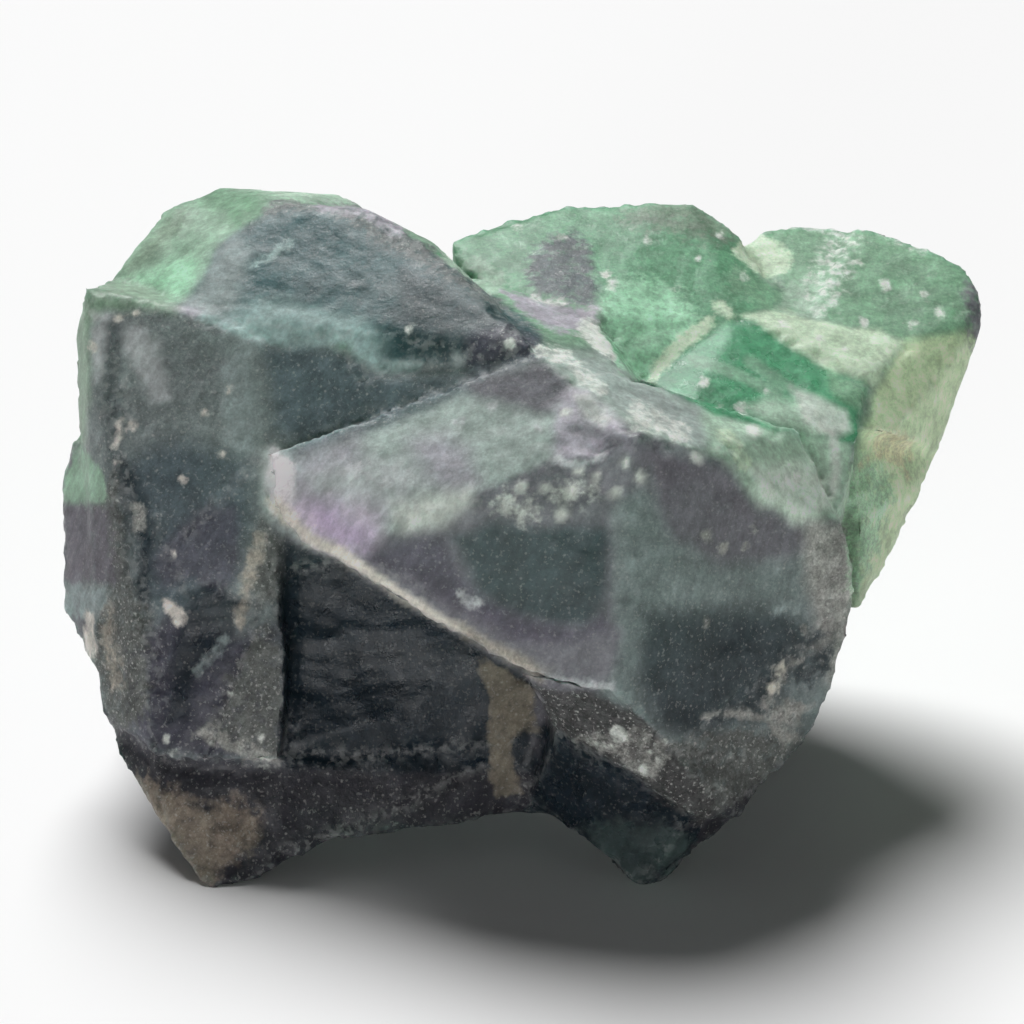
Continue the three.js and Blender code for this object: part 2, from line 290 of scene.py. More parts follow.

# %% [markdown]
# ## The tints of the stone
# The colour of fluorite sits in layers and clouds inside the stone. Each tint here has a colour, a frost
# from 0, glassy, to 1, ground dull, and a grit, which is how many pale grains it carries; the pale grains
# are partly painted glints.

# %% Tints
tints = {
    "ink": ((0.01, 0.02, 0.03), 0.10, 0.15),
    "night": ((0.04, 0.04, 0.05), 0.30, 0.35),
    "blue night": ((0.06, 0.08, 0.09), 0.25, 0.35),
    "violet night": ((0.08, 0.08, 0.11), 0.35, 0.40),
    "bottle": ((0.07, 0.10, 0.10), 0.05, 0.05),
    "smoke": ((0.25, 0.29, 0.29), 0.30, 0.40),
    "dim": ((0.12, 0.16, 0.18), 0.30, 0.35),
    "dusky teal": ((0.05, 0.08, 0.09), 0.30, 0.20),
    "teal": ((0.06, 0.12, 0.13), 0.15, 0.10),
    "sea": ((0.05, 0.12, 0.13), 0.25, 0.15),
    "slate": ((0.26, 0.31, 0.31), 0.40, 0.30),
    "haze": ((0.37, 0.44, 0.44), 0.50, 0.25),
    "foam": ((0.50, 0.68, 0.66), 0.50, 0.10),
    "steel": ((0.23, 0.25, 0.25), 0.60, 0.60),
    "plum": ((0.12, 0.11, 0.15), 0.35, 0.25),
    "dusk": ((0.25, 0.25, 0.28), 0.35, 0.15),
    "heather": ((0.19, 0.18, 0.21), 0.35, 0.20),
    "lilac": ((0.52, 0.49, 0.56), 0.40, 0.15),
    "lavender": ((0.86, 0.76, 0.90), 0.50, 0.05),
    "violet": ((0.60, 0.49, 0.68), 0.40, 0.10),
    # pearl white, partly a painted glow of light through the ridge's thin tip
    "pearl": ((0.95, 0.92, 0.94), 0.80, 0.05),
    "fog": ((0.64, 0.67, 0.68), 0.45, 0.05),
    "rough": ((0.17, 0.18, 0.17), 0.60, 0.80),
    "grit": ((0.09, 0.09, 0.09), 0.70, 0.90),
    "pale grit": ((0.45, 0.45, 0.42), 0.80, 0.80),
    "earth": ((0.30, 0.25, 0.20), 0.50, 0.50),
    "brown": ((0.25, 0.22, 0.17), 0.60, 0.30),
    "dust": ((0.52, 0.48, 0.41), 0.70, 0.50),
    "bone": ((0.90, 0.85, 0.78), 0.80, 0.10),
    "cream": ((0.96, 0.92, 0.80), 0.80, 0.10),
    "leaf": ((0.11, 0.39, 0.21), 0.15, 0.10),
    "clover": ((0.17, 0.41, 0.24), 0.30, 0.15),
    "sage": ((0.26, 0.48, 0.31), 0.35, 0.20),
    # yellow-green, used bright as a painted glow on the thin wing
    "lime glow": ((0.78, 0.98, 0.62), 0.30, 0.15),
    "moss grey": ((0.27, 0.38, 0.28), 0.40, 0.20),
    "fern": ((0.54, 0.83, 0.55), 0.35, 0.50),
    "straw": ((0.80, 0.78, 0.52), 0.60, 0.40),
    "celadon": ((0.38, 0.58, 0.43), 0.30, 0.15),
    # a bright green, used as a painted glow where the stone is thin
    "spring green glow": ((0.48, 0.87, 0.59), 0.30, 0.10),
    "jade": ((0.84, 0.98, 0.84), 0.35, 0.10),
    "grey celadon": ((0.34, 0.48, 0.36), 0.35, 0.20),
    "mint": ((0.50, 0.69, 0.54), 0.50, 0.10),
    "misty mint": ((0.46, 0.54, 0.51), 0.45, 0.10),
    "cream mint": ((0.76, 0.95, 0.70), 0.50, 0.10),
    "milk": ((0.90, 0.95, 0.88), 0.90, 0.05),
}
print(len(tints), "tints")

# %% [markdown]
# ## A drawing sheet held over the stone
# The front carries dozens of stains, and most of them cross from one facet to the next. A pattern of
# noise can't place them, and a flat image map would be stretched on the steep facets. So they are drawn
# on a sheet that leans back over the front, and each one goes straight back on to the stone. A place on
# the sheet is (mm to the right of the middle, mm up the sheet). Only the skin that the sheet can see
# takes a stain, and the stain fades out within 3 mm past it.

# %% Drawing sheet
lean = math.radians(25)
sheet_up = np.array([0.0, math.sin(lean), math.cos(lean)])
sheet_outlook = np.array([0.0, -math.cos(lean), math.sin(lean)])
drawn = np.column_stack([place[:, 0], place @ sheet_up])
clearance = 0.4  # mm; a ray starts this far off the stone, so as not to hit its own facet


def is_uncovered(point):
    """True where nothing of the stone stands between a point and the sheet."""
    start = Vector(point + clearance * sheet_outlook) * MM
    return facet_tree.ray_cast(start, Vector(sheet_outlook))[0] is None


least_facing = 0.03  # a facet that turns further away than this is out of sight
seen = facing @ sheet_outlook > least_facing
seen[seen] = [is_uncovered(point) for point in place[seen]]
seen_tree = tree_of([Vector(point) for point in place[seen]])
past_seen = np.array([seen_tree.find(Vector(point))[2] for point in place])
reached = 1 - ramp(past_seen, 0.8, 3.0)
print("share of the skin that the sheet sees:", seen.mean().round(2))

# %% [markdown]
# ## Patches, lines and spots
# A stain is a patch inside an outline, a line of some width, or a few round spots. Each gives every
# point of the skin a depth: 1 is well inside, -1 is well outside, and the stain fades between the
# two, over a few tenths of a millimetre (soft). A cover below 1 leaves the stain thin. Two sizes of
# noise fray the outlines, so none of them looks drawn.

# %% Ways to draw a stain
fray = 0.26 * noise_at(place, size=2.6, seed=21.0) + 0.16 * noise_at(place, size=0.9, seed=33.0)
uneven = 0.9 + 0.9 * noise_at(place, size=2.3, seed=61.0)  # so that no two spots are the same size
untouched = -3  # the depth of a point that a stain never reaches
stains, depths = [], []


def add_stain(name, tint, outside, size, cover, soft):
    """Keeps a stain, from how many mm outside it each point lies. Small ones fray less."""
    frayed = -outside - fray * min(1, 1.5 * size)
    depth = np.clip(frayed / soft, untouched, 2 * cover - 1)
    depths.append((depth - untouched) * reached + untouched)
    stains.append((name, tint))


def from_side(start, end):
    """How far each point lies from the straight line between two places on the sheet."""
    reach = end - start
    share = np.clip((drawn - start) @ reach / (reach @ reach), 0, 1)
    return np.linalg.norm(drawn - start - share[:, None] * reach, axis=1)


def patch(name, tint, *outline, cover=1.0, soft=0.4):
    """A stain inside an outline."""
    corners = np.array(outline, float)
    sides = list(zip(corners, np.roll(corners, -1, axis=0)))
    to_rim = np.min([from_side(start, end) for start, end in sides], axis=0)
    inside = np.zeros(len(drawn), bool)
    for (x0, y0), (x1, y1) in sides:
        if y0 != y1:
            crosses = (y0 > drawn[:, 1]) != (y1 > drawn[:, 1])
            inside ^= crosses & (drawn[:, 0] < x0 + (x1 - x0) * (drawn[:, 1] - y0) / (y1 - y0))
    add_stain(name, tint, np.where(inside, -to_rim, to_rim), 1.0, cover, soft)


def line(name, tint, half_width, *route, cover=0.9, soft=0.35):
    """A stain along a route."""
    places = np.array(route, float)
    away = np.min([from_side(start, end) for start, end in zip(places, places[1:])], axis=0)
    add_stain(name, tint, away - half_width, half_width, cover, soft)


def spots(name, tint, radius, *middles, cover=0.9, soft=0.25):
    """Roundish stains of uneven size."""
    away = np.min([np.linalg.norm(drawn - np.array(middle), axis=1) for middle in middles], axis=0)
    add_stain(name, tint, away - radius * uneven, radius, cover, soft)


# %% [markdown]
# ## Ground colours of the facets
# First each facet gets the colour that most of it has: dark and smoky low in front, where the stone is
# thick, teal on the hood, foggy on the ridge's roof, and green behind. The hollow below the ridge and the
# underside of the right foot are painted nearly black as painted shade, and the outer face of the wing is
# painted bright as a painted glow of light through the thin stone.

# %% Ground colours
patch("pale green block", "celadon", (-34, 36), (-30, 42), (-24, 46), (-10, 46), (-12, 42.3), (-18, 43),
      (-21, 41.2), (-23.5, 39), (-24.2, 37.3), (-25.8, 34.6), (-28, 35.5), (-31.4, 36.2))
patch("hood", "sea", (-25.8, 34.5), (-24.1, 37.3), (-23.4, 39), (-21, 41.2), (-18, 42.9), (-12, 42.4),
      (-7, 39), (0, 33.8), (1.2, 32.4), (1, 31), (0, 30.1), (-4, 29.2), (-6.5, 30), (-11, 29.4),
      (-12.4, 31), (-13, 31.8), (-15, 31.4), (-17.5, 31.3), (-20, 32.1), (-24, 33.8), soft=0.3)
patch("broad front", "smoke", (-33.5, 37), (-26, 34.6), (-20, 32), (-14, 31.5), (-11, 29.5), (0, 30),
      (-6, 27.2), (-10, 25.5), (-16, 23.4), (-19.4, 24), (-19.6, 19), (-17.8, 17), (-17.8, 0.5),
      (-27, 0.5), (-33.5, 6), (-33.8, 24))
# painted shade: the hollow below the ridge's overhang is painted nearly black
patch("painted shade in the hollow under the ridge", "ink", (-18, 17.6), (-14, 15.6), (-10, 13.2), (-4, 9.6), (0.5, 6.6),
      (0.5, -3), (-18, 0.2))
patch("foot below the ledge", "night", (-31, 2), (-24, 0.6), (-18, 0.2), (1, -0.2), (3, -4), (-16, -4.4),
      (-19, -6), (-24, -9), (-30, -4))
patch("roof of the ridge", "misty mint", (-19.4, 24.2), (-16.4, 23.4), (-12, 25.1), (-6, 27.4),
      (0, 30.2), (3, 28.4), (3, 24), (-1, 21.6), (-4.4, 20.4), (-6, 18.2), (-9, 17.6), (-12.4, 16),
      (-16, 16.6), (-19.6, 19))
patch("front of the ridge", "dusk", (-14, 16), (-9, 17.9), (-6, 18.2), (-4.2, 20.2), (0, 22), (6, 22),
      (8, 20), (8, 10), (5, 5), (1, 7), (-4, 9.8), (-10, 13.4))
patch("broad right face", "slate", (7, 22), (10, 24.2), (15, 22.6), (16.6, 19.5), (20, 18.6),
      (24.5, 18.6), (24.5, 8), (21, 3), (14, -2.5), (8, 4), (5, 6), (7.5, 12))
patch("band above the right face", "mint", (1.2, 30.2), (5, 31), (9, 28.8), (12, 27), (16, 26),
      (24, 24.4), (25, 18.2), (19, 19), (16, 20), (14, 23), (11, 24), (8, 25), (5, 27.6), (3, 29))
patch("saturated step", "leaf", (9, 28.8), (11, 30.8), (13.6, 33.2), (16.4, 34.3), (18.5, 33.1),
      (22.3, 30.3), (25.8, 28.9), (25, 24.3), (20, 25), (14, 26.3), (10.5, 28), soft=0.3)
patch("long slab", "clover", (-6.5, 38.5), (-5, 41), (4, 45), (16, 45), (19, 40), (16.4, 39.5),
      (18.2, 37.3), (20.5, 36), (16.5, 34.2), (11, 31), (9, 28.9), (7.4, 30.4), (6.3, 31.6), (6.3, 35),
      (-1.6, 36.2))
patch("top of the wing", "sage", (16.4, 39.2), (17, 43), (38, 43), (37, 32), (29, 32.2), (25, 33.4),
      (20, 34.8), (20.3, 36.6))
# yellow-green wing face, painted bright as a glow of light through the thin wing
patch("painted glow on the wing's outer face", "lime glow", (28.8, 32.4), (36.5, 33.5), (35, 27), (30, 18), (25, 10),
      (24, 14), (25.3, 25), (26.4, 28.4), soft=0.5)
patch("lip of the right foot", "grit", (0.6, 6.6), (4, 6.3), (7.4, 5), (10, 2.5), (12.4, 0.6),
      (14.4, -2), (13, -4), (10, -2.3), (7.5, 0), (5, 1.5), (1.8, 3.2))
# painted shade: the underside of the right foot, painted nearly black
patch("right foot", "ink", (1, 3.6), (5, 1.5), (7.5, 0), (10.2, -2.2), (13, -4), (12, -7), (8, -9),
      (0, -4))
print(len(stains), "ground colours")

# %% [markdown]
# ## The green block and the hood
# The green block behind is painted brightest where it thins out at its foot, as a painted glow of light
# through the thin stone. The hood is teal at its heart, foamy along its lower hem, and ends on the right
# in a dark violet tip. Its crest is worn and grey.

# %% Green block and hood
# painted glow of light through the thin foot of the block
patch("painted glow at the foot of the block", "spring green glow", (-30.8, 36.7), (-28.5, 37.2), (-26.6, 38.4), (-24.8, 38),
      (-24.8, 36.6), (-26, 34.8), (-28, 35.6), cover=0.95, soft=1.2)
patch("darker crest of the block", "sage", (-25.5, 44.8), (-20.3, 44), (-20.3, 42), (-22, 41),
      (-23.6, 42.2), (-25, 43), cover=0.9, soft=1.0)
patch("grey shoulder of the block", "moss grey", (-31.6, 37.2), (-29, 40.2), (-26.5, 43), (-26, 41.6),
      (-28.2, 39), (-30, 37.8), cover=0.85, soft=1.0)
patch("mint crest behind the hood", "mint", (-21.6, 45.2), (-12, 45.2), (-10.6, 42.4), (-13, 42.8),
      (-17, 43.1), (-20, 44), soft=0.4)
patch("hazy left of the hood", "haze", (-25.6, 34.5), (-24.4, 36.6), (-23.6, 38.6), (-22, 40),
      (-20.6, 39), (-21.4, 36.5), (-21.8, 34), (-23.4, 33.8), cover=0.75, soft=1.3)
patch("foam low on the hood", "foam", (-22, 33.4), (-19.5, 34.8), (-15, 34.6), (-12, 33.6),
      (-10.6, 31.4), (-11, 29.9), (-12.4, 31.6), (-15, 31.7), (-19, 31.9), cover=0.7, soft=1.3)
patch("teal heart of the hood", "teal", (-17, 36), (-13, 37.4), (-10, 36), (-9.6, 33), (-13, 33.6),
      (-16.6, 34.6), cover=0.75, soft=1.0)
patch("dusky right of the hood", "dusky teal", (-9, 37.4), (-5, 35.6), (0, 32.8), (1, 31.4), (-1, 30),
      (-5, 29.6), (-8.6, 31), (-10, 33.4), cover=0.95, soft=1.1)
patch("violet tip of the hood", "violet night", (-4.2, 32.2), (-1.4, 33.2), (1, 32), (0.6, 30.6),
      (-3, 29.4), (-4.6, 29.8), cover=0.9, soft=0.7)
patch("worn crest of the hood", "steel", (-19.6, 42.2), (-15, 42.2), (-12, 40.4), (-9.6, 38.8),
      (-7, 37.2), (-3, 35), (0, 33.4), (1.2, 32.4), (-2, 35.2), (-6, 38.6), (-9.8, 41), (-13, 43),
      (-19, 43.2), cover=0.8, soft=0.5)
line("lilac crest of the hood", "lilac", 0.5, (-15.4, 42.7), (-12, 42), (-9.6, 40.6), cover=0.75)
line("foam hem of the hood", "foam", 0.35, (-24, 33.9), (-20, 32.3), (-17, 31.4), (-13.2, 32),
     (-12.3, 31), (-10.8, 29.8), (-8, 29.8), cover=0.8)
line("scratches on the hood", "foam", 0.18, (-20.6, 37.6), (-19, 38.6), (-17.6, 39.6))
line("knocked left corner of the hood", "lilac", 0.35, (-25.6, 34.6), (-24.4, 34.1), cover=0.8)
line("round nub of the hood", "haze", 0.4, (-5, 30.3), (-5, 29.4))
spots("white spots on the hood", "milk", 0.55, (-8.4, 32.5), (-1.2, 31.4))
print(len(stains), "stains so far")

# %% [markdown]
# ## The broad front
# The front is smoky, and darkest in its heart and at its foot, where the stone is thickest; at the foot
# the violet is also deepened as painted shade under the wedge. Painted shade darkens the band just below
# the hood and the gap next to the wedge. A green band shows along its top and left edge, where light
# comes through. Bone-coloured chips, a rough column and a frosted wedge break up the dark, and a bruise
# near the left edge is partly a painted reflection.

# %% Broad front
# painted shade: the band below the hood's overhang is painted dim
patch("painted shade on the front under the hood", "dim", (-19.4, 31.6), (-14, 31.2), (-12.4, 30.6), (-10.8, 29.2),
      (-5.6, 29.2), (0, 30), (-6, 27.3), (-10, 25.6), (-16, 23.6), (-18.4, 25.4), (-18.8, 28), cover=0.9,
      soft=0.9)
patch("hazy middle of the front", "haze", (-22.4, 31.6), (-20.2, 31.4), (-19.6, 27), (-20, 23.6),
      (-21.6, 23.6), (-22.2, 27), cover=0.75, soft=1.0)
patch("dark heart of the front", "dim", (-30, 23), (-26, 24.6), (-20.4, 23), (-20, 19), (-22, 13),
      (-25, 10.5), (-28.6, 13), (-29.4, 18), cover=0.9, soft=1.3)
# violet stone at the foot of the front, deepened as painted shade under the wedge
patch("violet foot and painted shade of the front", "violet night", (-30.5, 9), (-26, 12), (-21.4, 10), (-18, 11),
      (-18, 1), (-24, 0.8), (-29.5, 2), cover=0.9, soft=1.0)
patch("green band of the front", "grey celadon", (-33.8, 37.4), (-31, 37), (-28, 36.2), (-25.6, 34.6),
      (-26, 34), (-28.6, 34.2), (-31.4, 34.2), (-32.4, 33), (-32.4, 30), (-32.9, 27), (-33.2, 24.4),
      (-35, 24.4), (-34.6, 31), cover=0.9, soft=0.6)
patch("fog beside the green band", "fog", (-32.4, 33.8), (-30.6, 34), (-31.2, 32), (-31.6, 29),
      (-32.2, 29), cover=0.8, soft=0.6)
# a pale bruise near the left edge, partly a painted reflection
patch("bruise and painted reflection by the left edge", "fog", (-30, 33), (-28.8, 33), (-27.4, 31.8), (-26.8, 29.6),
      (-26.6, 27.6), (-27.6, 27.4), (-28.6, 29.4), (-29.8, 31.4), cover=0.65, soft=0.8)
patch("plum feather of the front", "plum", (-27.6, 15.6), (-25.6, 18), (-24, 19.4), (-21.4, 19.6),
      (-21, 16), (-22.4, 13), (-24.6, 14.6), (-26.6, 13.8), cover=0.65, soft=0.9)
# painted shade: the gap next to the wedge is painted nearly black
patch("painted shade in the gap beside the wedge", "ink", (-26, 9), (-24.6, 13), (-22.6, 13.6), (-20.6, 12.6),
      (-21.8, 9.8), (-24.4, 7.6), (-25, 4), (-26.4, 3.6), cover=0.75, soft=0.9)
line("dark feather of the front", "ink", 0.5, (-29.4, 22), (-28, 17), (-28.6, 12.6), cover=0.7, soft=0.8)
line("dark edge behind the column", "ink", 0.4, (-30.6, 33), (-30.9, 27), (-30.2, 21), (-29.9, 14),
     cover=0.5, soft=0.9)
patch("long bone chip", "bone", (-30.7, 23.8), (-30.4, 26), (-29.9, 26.4), (-29.8, 25.2), (-30.2, 23.7),
      cover=0.95, soft=0.3)
spots("bone chips", "bone", 0.42, (-30.3, 33.7), (-32.5, 31.5), (-29.2, 25.6), cover=0.9)
spots("bone specks of the front", "bone", 0.24, (-22.2, 23.5), (-29, 34), (-30.4, 22.9), (-26, 16.2),
      (-21.8, 28.2), (-23.6, 26.6), (-25.4, 21.7))
patch("rough flake", "pale grit", (-29.4, 20), (-28.3, 19.7), (-28.2, 18), (-29.2, 17.6), soft=0.35)
patch("rough column", "rough", (-32.2, 20), (-30.4, 22), (-29.8, 14), (-28.2, 12), (-28.4, 4), (-31, 3),
      (-33, 8), (-32, 12), cover=0.85, soft=0.7)
patch("dusty edge of the column", "dust", (-32, 12.4), (-31.4, 12.6), (-31, 10), (-30.6, 6.4),
      (-31.2, 6), (-31.6, 9), cover=0.6, soft=0.5)
patch("bone sliver", "bone", (-26.9, 12.8), (-26.1, 12.7), (-25.4, 11.9), (-25.3, 11), (-25.7, 10.7),
      (-26.3, 11.5), cover=0.95, soft=0.25)
patch("frosted wedge", "rough", (-24.4, 2.5), (-22.8, 4.4), (-21.8, 7), (-20.4, 10), (-18.8, 11),
      (-17.9, 8.6), (-17.9, 0.8), (-20.2, 0.9), (-22.2, 1.9), cover=0.85, soft=0.5)
patch("pale foot of the wedge", "pale grit", (-24.4, 2.5), (-23.4, 3.4), (-20.6, 2.2), (-18.1, 1.2),
      (-18.2, 0.4), (-20.4, 0.8), (-22.2, 1.8), cover=0.7, soft=0.4)
spots("white specks of the wedge", "milk", 0.28, (-22.1, 5.9), (-26, 1.4), (-19.4, 2.6), (-19.2, 0.6),
      (-26.6, 2.4))
line("cleavage line", "haze", 0.22, (-24.2, 7.6), (-22.2, 9.8), cover=0.5)
patch("rough shade beside the streak", "rough", (-19.4, 18.6), (-17.6, 17.2), (-17.8, 13), (-19.9, 12),
      (-20.4, 14), cover=0.9, soft=0.6)
patch("dusty streak", "dust", (-19.9, 17.7), (-19.2, 17.4), (-19.3, 16), (-20, 14.6), (-20.4, 12.6),
      (-21, 10.9), (-21.4, 11.2), (-21, 13.4), (-20.5, 15.6), cover=0.95, soft=0.35)
print(len(stains), "stains so far")

# %% [markdown]
# ## The chip on the left and the foot
# The thin chip on the left side is green at the top, purple in the middle and grey below. The foot
# under the ledge is a brown earthy colour where it meets the ground.

# %% Left chip and foot
patch("green end of the chip", "celadon", (-34, 24.4), (-33, 23.6), (-31.6, 22), (-31.1, 19.8),
      (-35.6, 19.8), (-35.2, 22), soft=0.35)
patch("purple middle of the chip", "heather", (-35.8, 19.6), (-31.1, 19.6), (-30.7, 14), (-35.8, 14),
      soft=0.7)
patch("hazy end of the chip", "haze", (-35.8, 13.8), (-31.2, 13.4), (-31.8, 12), (-33.4, 10.8),
      (-35.8, 11.4), cover=0.9, soft=0.5)
patch("bone end of the chip", "bone", (-33.5, 11.7), (-32.5, 11.5), (-32.5, 8.8), (-33.2, 7.6),
      (-33.8, 9.6), cover=0.95, soft=0.3)
patch("earthy foot", "earth", (-29, -0.6), (-26, -1.4), (-23.8, -2.8), (-21.6, -2), (-19.6, -3.2),
      (-19.4, -5), (-22, -6.6), (-23.4, -8.6), (-26, -8), (-29, -3), cover=0.9, soft=0.8)
# painted shade: the low front edge over the arch, darkened as the shadow beneath it
patch("painted shade on the sole under the arch", "night", (-19.4, -3.6), (-16, -3), (-4, -3), (-4, -4.6), (-16, -4.8), (-19.4, -5.4),
      cover=0.85, soft=0.5)
patch("brown vein", "brown", (-3.4, 8.4), (-0.8, 7), (0.4, 6.2), (0.7, 3), (-0.3, 2.8), (-1, 2.4),
      (-1, 0.4), (-0.5, -1.8), (-2, -2), (-2.5, -0.4), (-2.8, 2), (-2.6, 5.2), soft=0.3)
print(len(stains), "stains so far")

# %% [markdown]
# ## The ridge
# The ridge block shows the layers best: lilac and green fog on its roof, a teal oval set in plum on its
# front, and a thin cream rim where its lower edge has been knocked, brightened as a painted highlight
# where the thin edge catches the light. White bruises lie along the crest between the two, partly painted
# highlights on its knobs, with painted shade in the gaps between them. The tip is pearl white, partly a
# painted glow of light through the thin stone.

# %% Ridge
patch("lilac start of the roof", "lilac", (-16.8, 23.2), (-12.2, 24.8), (-11.8, 22.6), (-12.6, 21),
      (-14, 20.4), (-17, 20.6), cover=0.8, soft=1.5)
patch("foggy left of the roof", "fog", (-16, 22), (-12, 23), (-9, 23.2), (-7.6, 21.6), (-8.6, 19.8),
      (-12, 20), (-15.4, 20.6), cover=0.85, soft=1.5)
patch("lavender patch of the roof", "lavender", (-17.6, 20), (-14, 20.2), (-11.5, 20), (-10.2, 19.2),
      (-10.6, 17.3), (-12.8, 16.2), (-15.3, 16.8), (-17.8, 19.2), cover=0.85, soft=1.2)
spots("violet heart of the roof", "violet", 1.1, (-12.6, 17.7), (-14.6, 18.7), cover=0.7, soft=1.3)
patch("lilac middle of the roof", "lilac", (-8.2, 24.4), (-6, 24.8), (-4.4, 23.6), (-3.6, 21.5),
      (-5, 20.6), (-6.8, 21.4), cover=0.75, soft=1.4)
patch("milky foot of the roof", "milk", (-9.4, 19.4), (-7, 20.3), (-4.2, 20.7), (-4.2, 19.8), (-6, 18.4),
      (-8.8, 17.9), cover=0.8, soft=1.0)
patch("heather saddle of the roof", "heather", (-4.4, 28.6), (-1, 29.8), (1.4, 30.2), (2.6, 29.2),
      (3.4, 27.4), (1.6, 26.2), (-1, 26.8), (-3, 27.4), cover=0.9, soft=0.7)
# white tip, partly a painted glow of light through the thin stone
patch("pearl tip and painted glow of the ridge", "pearl", (-18.8, 24.1), (-18.2, 23.9), (-16.6, 22.7), (-16.8, 20.3),
      (-17.6, 19.5), (-18.6, 19.4), (-18.9, 21.4), soft=0.3)
# a knocked cream rim, brightened as a painted highlight where the thin edge catches the light
patch("cream rim and painted highlight of the ridge", "cream", (-19, 20.2), (-17.8, 20.2), (-16, 18), (-14, 17), (-12, 15.7),
      (-10, 14.4), (-8, 13), (-6, 11.8), (-4, 10.8), (-4, 9.9), (-6, 11), (-8, 12.1), (-10, 13.4),
      (-12, 14.6), (-14, 15.9), (-16, 16.8), (-18.2, 19), soft=0.3)
patch("dusty end of the rim", "dust", (-4.6, 11.2), (-2, 9.7), (0, 8.9), (2, 8), (1, 6.9), (-2, 8.7),
      (-4.6, 10.2), soft=0.35)
patch("plum edge of the ridge front", "plum", (-11.6, 15.7), (-9, 17.2), (-6, 17.4), (-4.6, 15),
      (-3, 13), (0, 11.8), (-3, 11.2), (-6, 12.8), (-9, 14.6), cover=0.85, soft=0.9)
patch("teal oval of the ridge", "dusky teal", (-5.2, 17.4), (-2.5, 18.6), (0, 18.2), (3, 18.3),
      (5.8, 18), (5.9, 15.4), (5.6, 12.5), (4.4, 11), (2, 11), (-1, 11.9), (-3.5, 13.5), cover=0.9,
      soft=0.8)
patch("plum below the oval", "plum", (-3, 12.6), (0, 11.7), (4, 10.9), (5.6, 12), (6, 10.4), (4, 9.6),
      (1, 9.6), (-2, 10.6), cover=0.85, soft=0.8)
patch("dusky foot of the ridge", "dusk", (0, 9.6), (3, 9.8), (5.6, 10.6), (6.4, 9), (5.6, 7), (3, 6.9),
      (1, 7.8), cover=0.6, soft=0.8)
line("pale hem of the ridge", "fog", 0.25, (0.9, 7.7), (3.8, 6.9), (6, 6.8), cover=0.75)
line("pale fleck of the ridge", "fog", 0.4, (-4.7, 13.2), (-3.4, 12.7), cover=0.8)
patch("slate stripe of the ridge", "slate", (6, 20.4), (7.6, 20.6), (8.4, 18), (9.8, 17), (9.7, 14),
      (9, 12), (7.4, 10.6), (5.9, 11.5), (6.1, 16), cover=0.9, soft=0.5)
patch("dusky crest of the ridge", "dusk", (-0.8, 21.6), (2, 22.6), (6, 22.6), (9, 23.6), (8.6, 21),
      (4.4, 19.2), (1, 18.4), (-1.6, 19.4), cover=0.85, soft=0.7)
patch("lilac cluster of the crest", "lilac", (2.8, 28.2), (4.6, 28.2), (6.4, 26.2), (7.4, 24.8),
      (6.4, 23.4), (5, 23), (2, 23.4), (1.8, 25.6), cover=0.9, soft=0.5)
# painted shade in the gaps between the crest's knobs
patch("painted shade in the gaps of the crest", "dusk", (2.4, 25.6), (4.4, 25.6), (6.2, 25), (6.8, 23.8), (6, 23.2),
      (5.2, 24.8), (3, 25.1), cover=0.85, soft=0.4)
# painted highlights on the knobs of the cluster
patch("painted highlights of the cluster", "milk", (3.4, 27.6), (4.6, 27.6), (5.8, 26.1), (5.4, 25.6),
      (4.2, 26.3), cover=0.6, soft=0.5)
# white beads and bruises, partly painted highlights on the crest's knobs
spots("white beads and painted highlights of the crest", "milk", 0.45, (2.7, 26.4), (8.3, 21.7), (2.4, 19.1), (5, 21.8),
      (6.3, 20.6), (-0.4, 21), (3.6, 22.2), (1.2, 20.9), (7, 22.6))
spots("pale spots of the roof", "fog", 0.4, (-2.4, 26.8), (0.8, 25.2), (-4.8, 25.7), cover=0.7)
# white bruises, partly painted highlights
line("white bruise and painted highlight of the crest", "milk", 0.5, (2.2, 20.4), (4, 20.9), cover=0.7, soft=0.8)
line("white bruise and painted highlight left of the crest", "milk", 0.5, (-1.6, 20), (0.2, 19.2), cover=0.65, soft=0.8)
line("pale rim of the cluster", "fog", 0.25, (2, 23.2), (3, 22.7), (4.4, 22.7), (5.3, 23.4), cover=0.75)
line("pale sliver of the crest", "fog", 0.45, (10, 22.8), (9.7, 22), cover=0.85)
print(len(stains), "stains so far")

# %% [markdown]
# ## The right face and its foot
# The right face is heather under the pale band and nearly black lower down, with a pale, gritty
# outer edge. Short cracks meet near its corner, and the lip of the foot is frosted from knocks.

# %% Right face and foot
patch("heather top of the right face", "heather", (8.6, 23.8), (12, 23), (14.4, 22.6), (15.6, 21),
      (16.8, 19.4), (20, 18.4), (22, 17), (19, 15.6), (14, 15.4), (10.4, 17.4), (9, 20), cover=0.9,
      soft=0.9)
patch("dark low right face", "blue night", (8.4, 12), (13, 12.4), (19, 12), (21, 10.6), (20, 7.6),
      (17, 4), (13, 2.6), (9.6, 3.6), (8, 7), cover=0.95, soft=1.2)
patch("gritty right edge", "pale grit", (20.4, 18.6), (24.6, 18.4), (24.8, 8), (22.6, 6), (21.4, 9),
      (21.2, 12), (20.2, 15.6), cover=0.85, soft=0.8)
patch("dark corner of the right face", "blue night", (19.8, 10.6), (23, 10.4), (22.4, 7.6), (20.8, 6.4),
      (19.4, 7.4), cover=0.8, soft=0.6)
patch("rough corner above the foot", "rough", (10, 2.4), (16, 3.6), (20.4, 2.4), (18, -0.6),
      (14.4, -2.6), (12.4, 0.4), cover=0.9, soft=0.8)
patch("frosted corner", "pale grit", (17.8, 4.4), (19, 5.2), (20.4, 5.1), (20.1, 2.6), (19, 2),
      (18.2, 3), cover=0.75, soft=0.4)
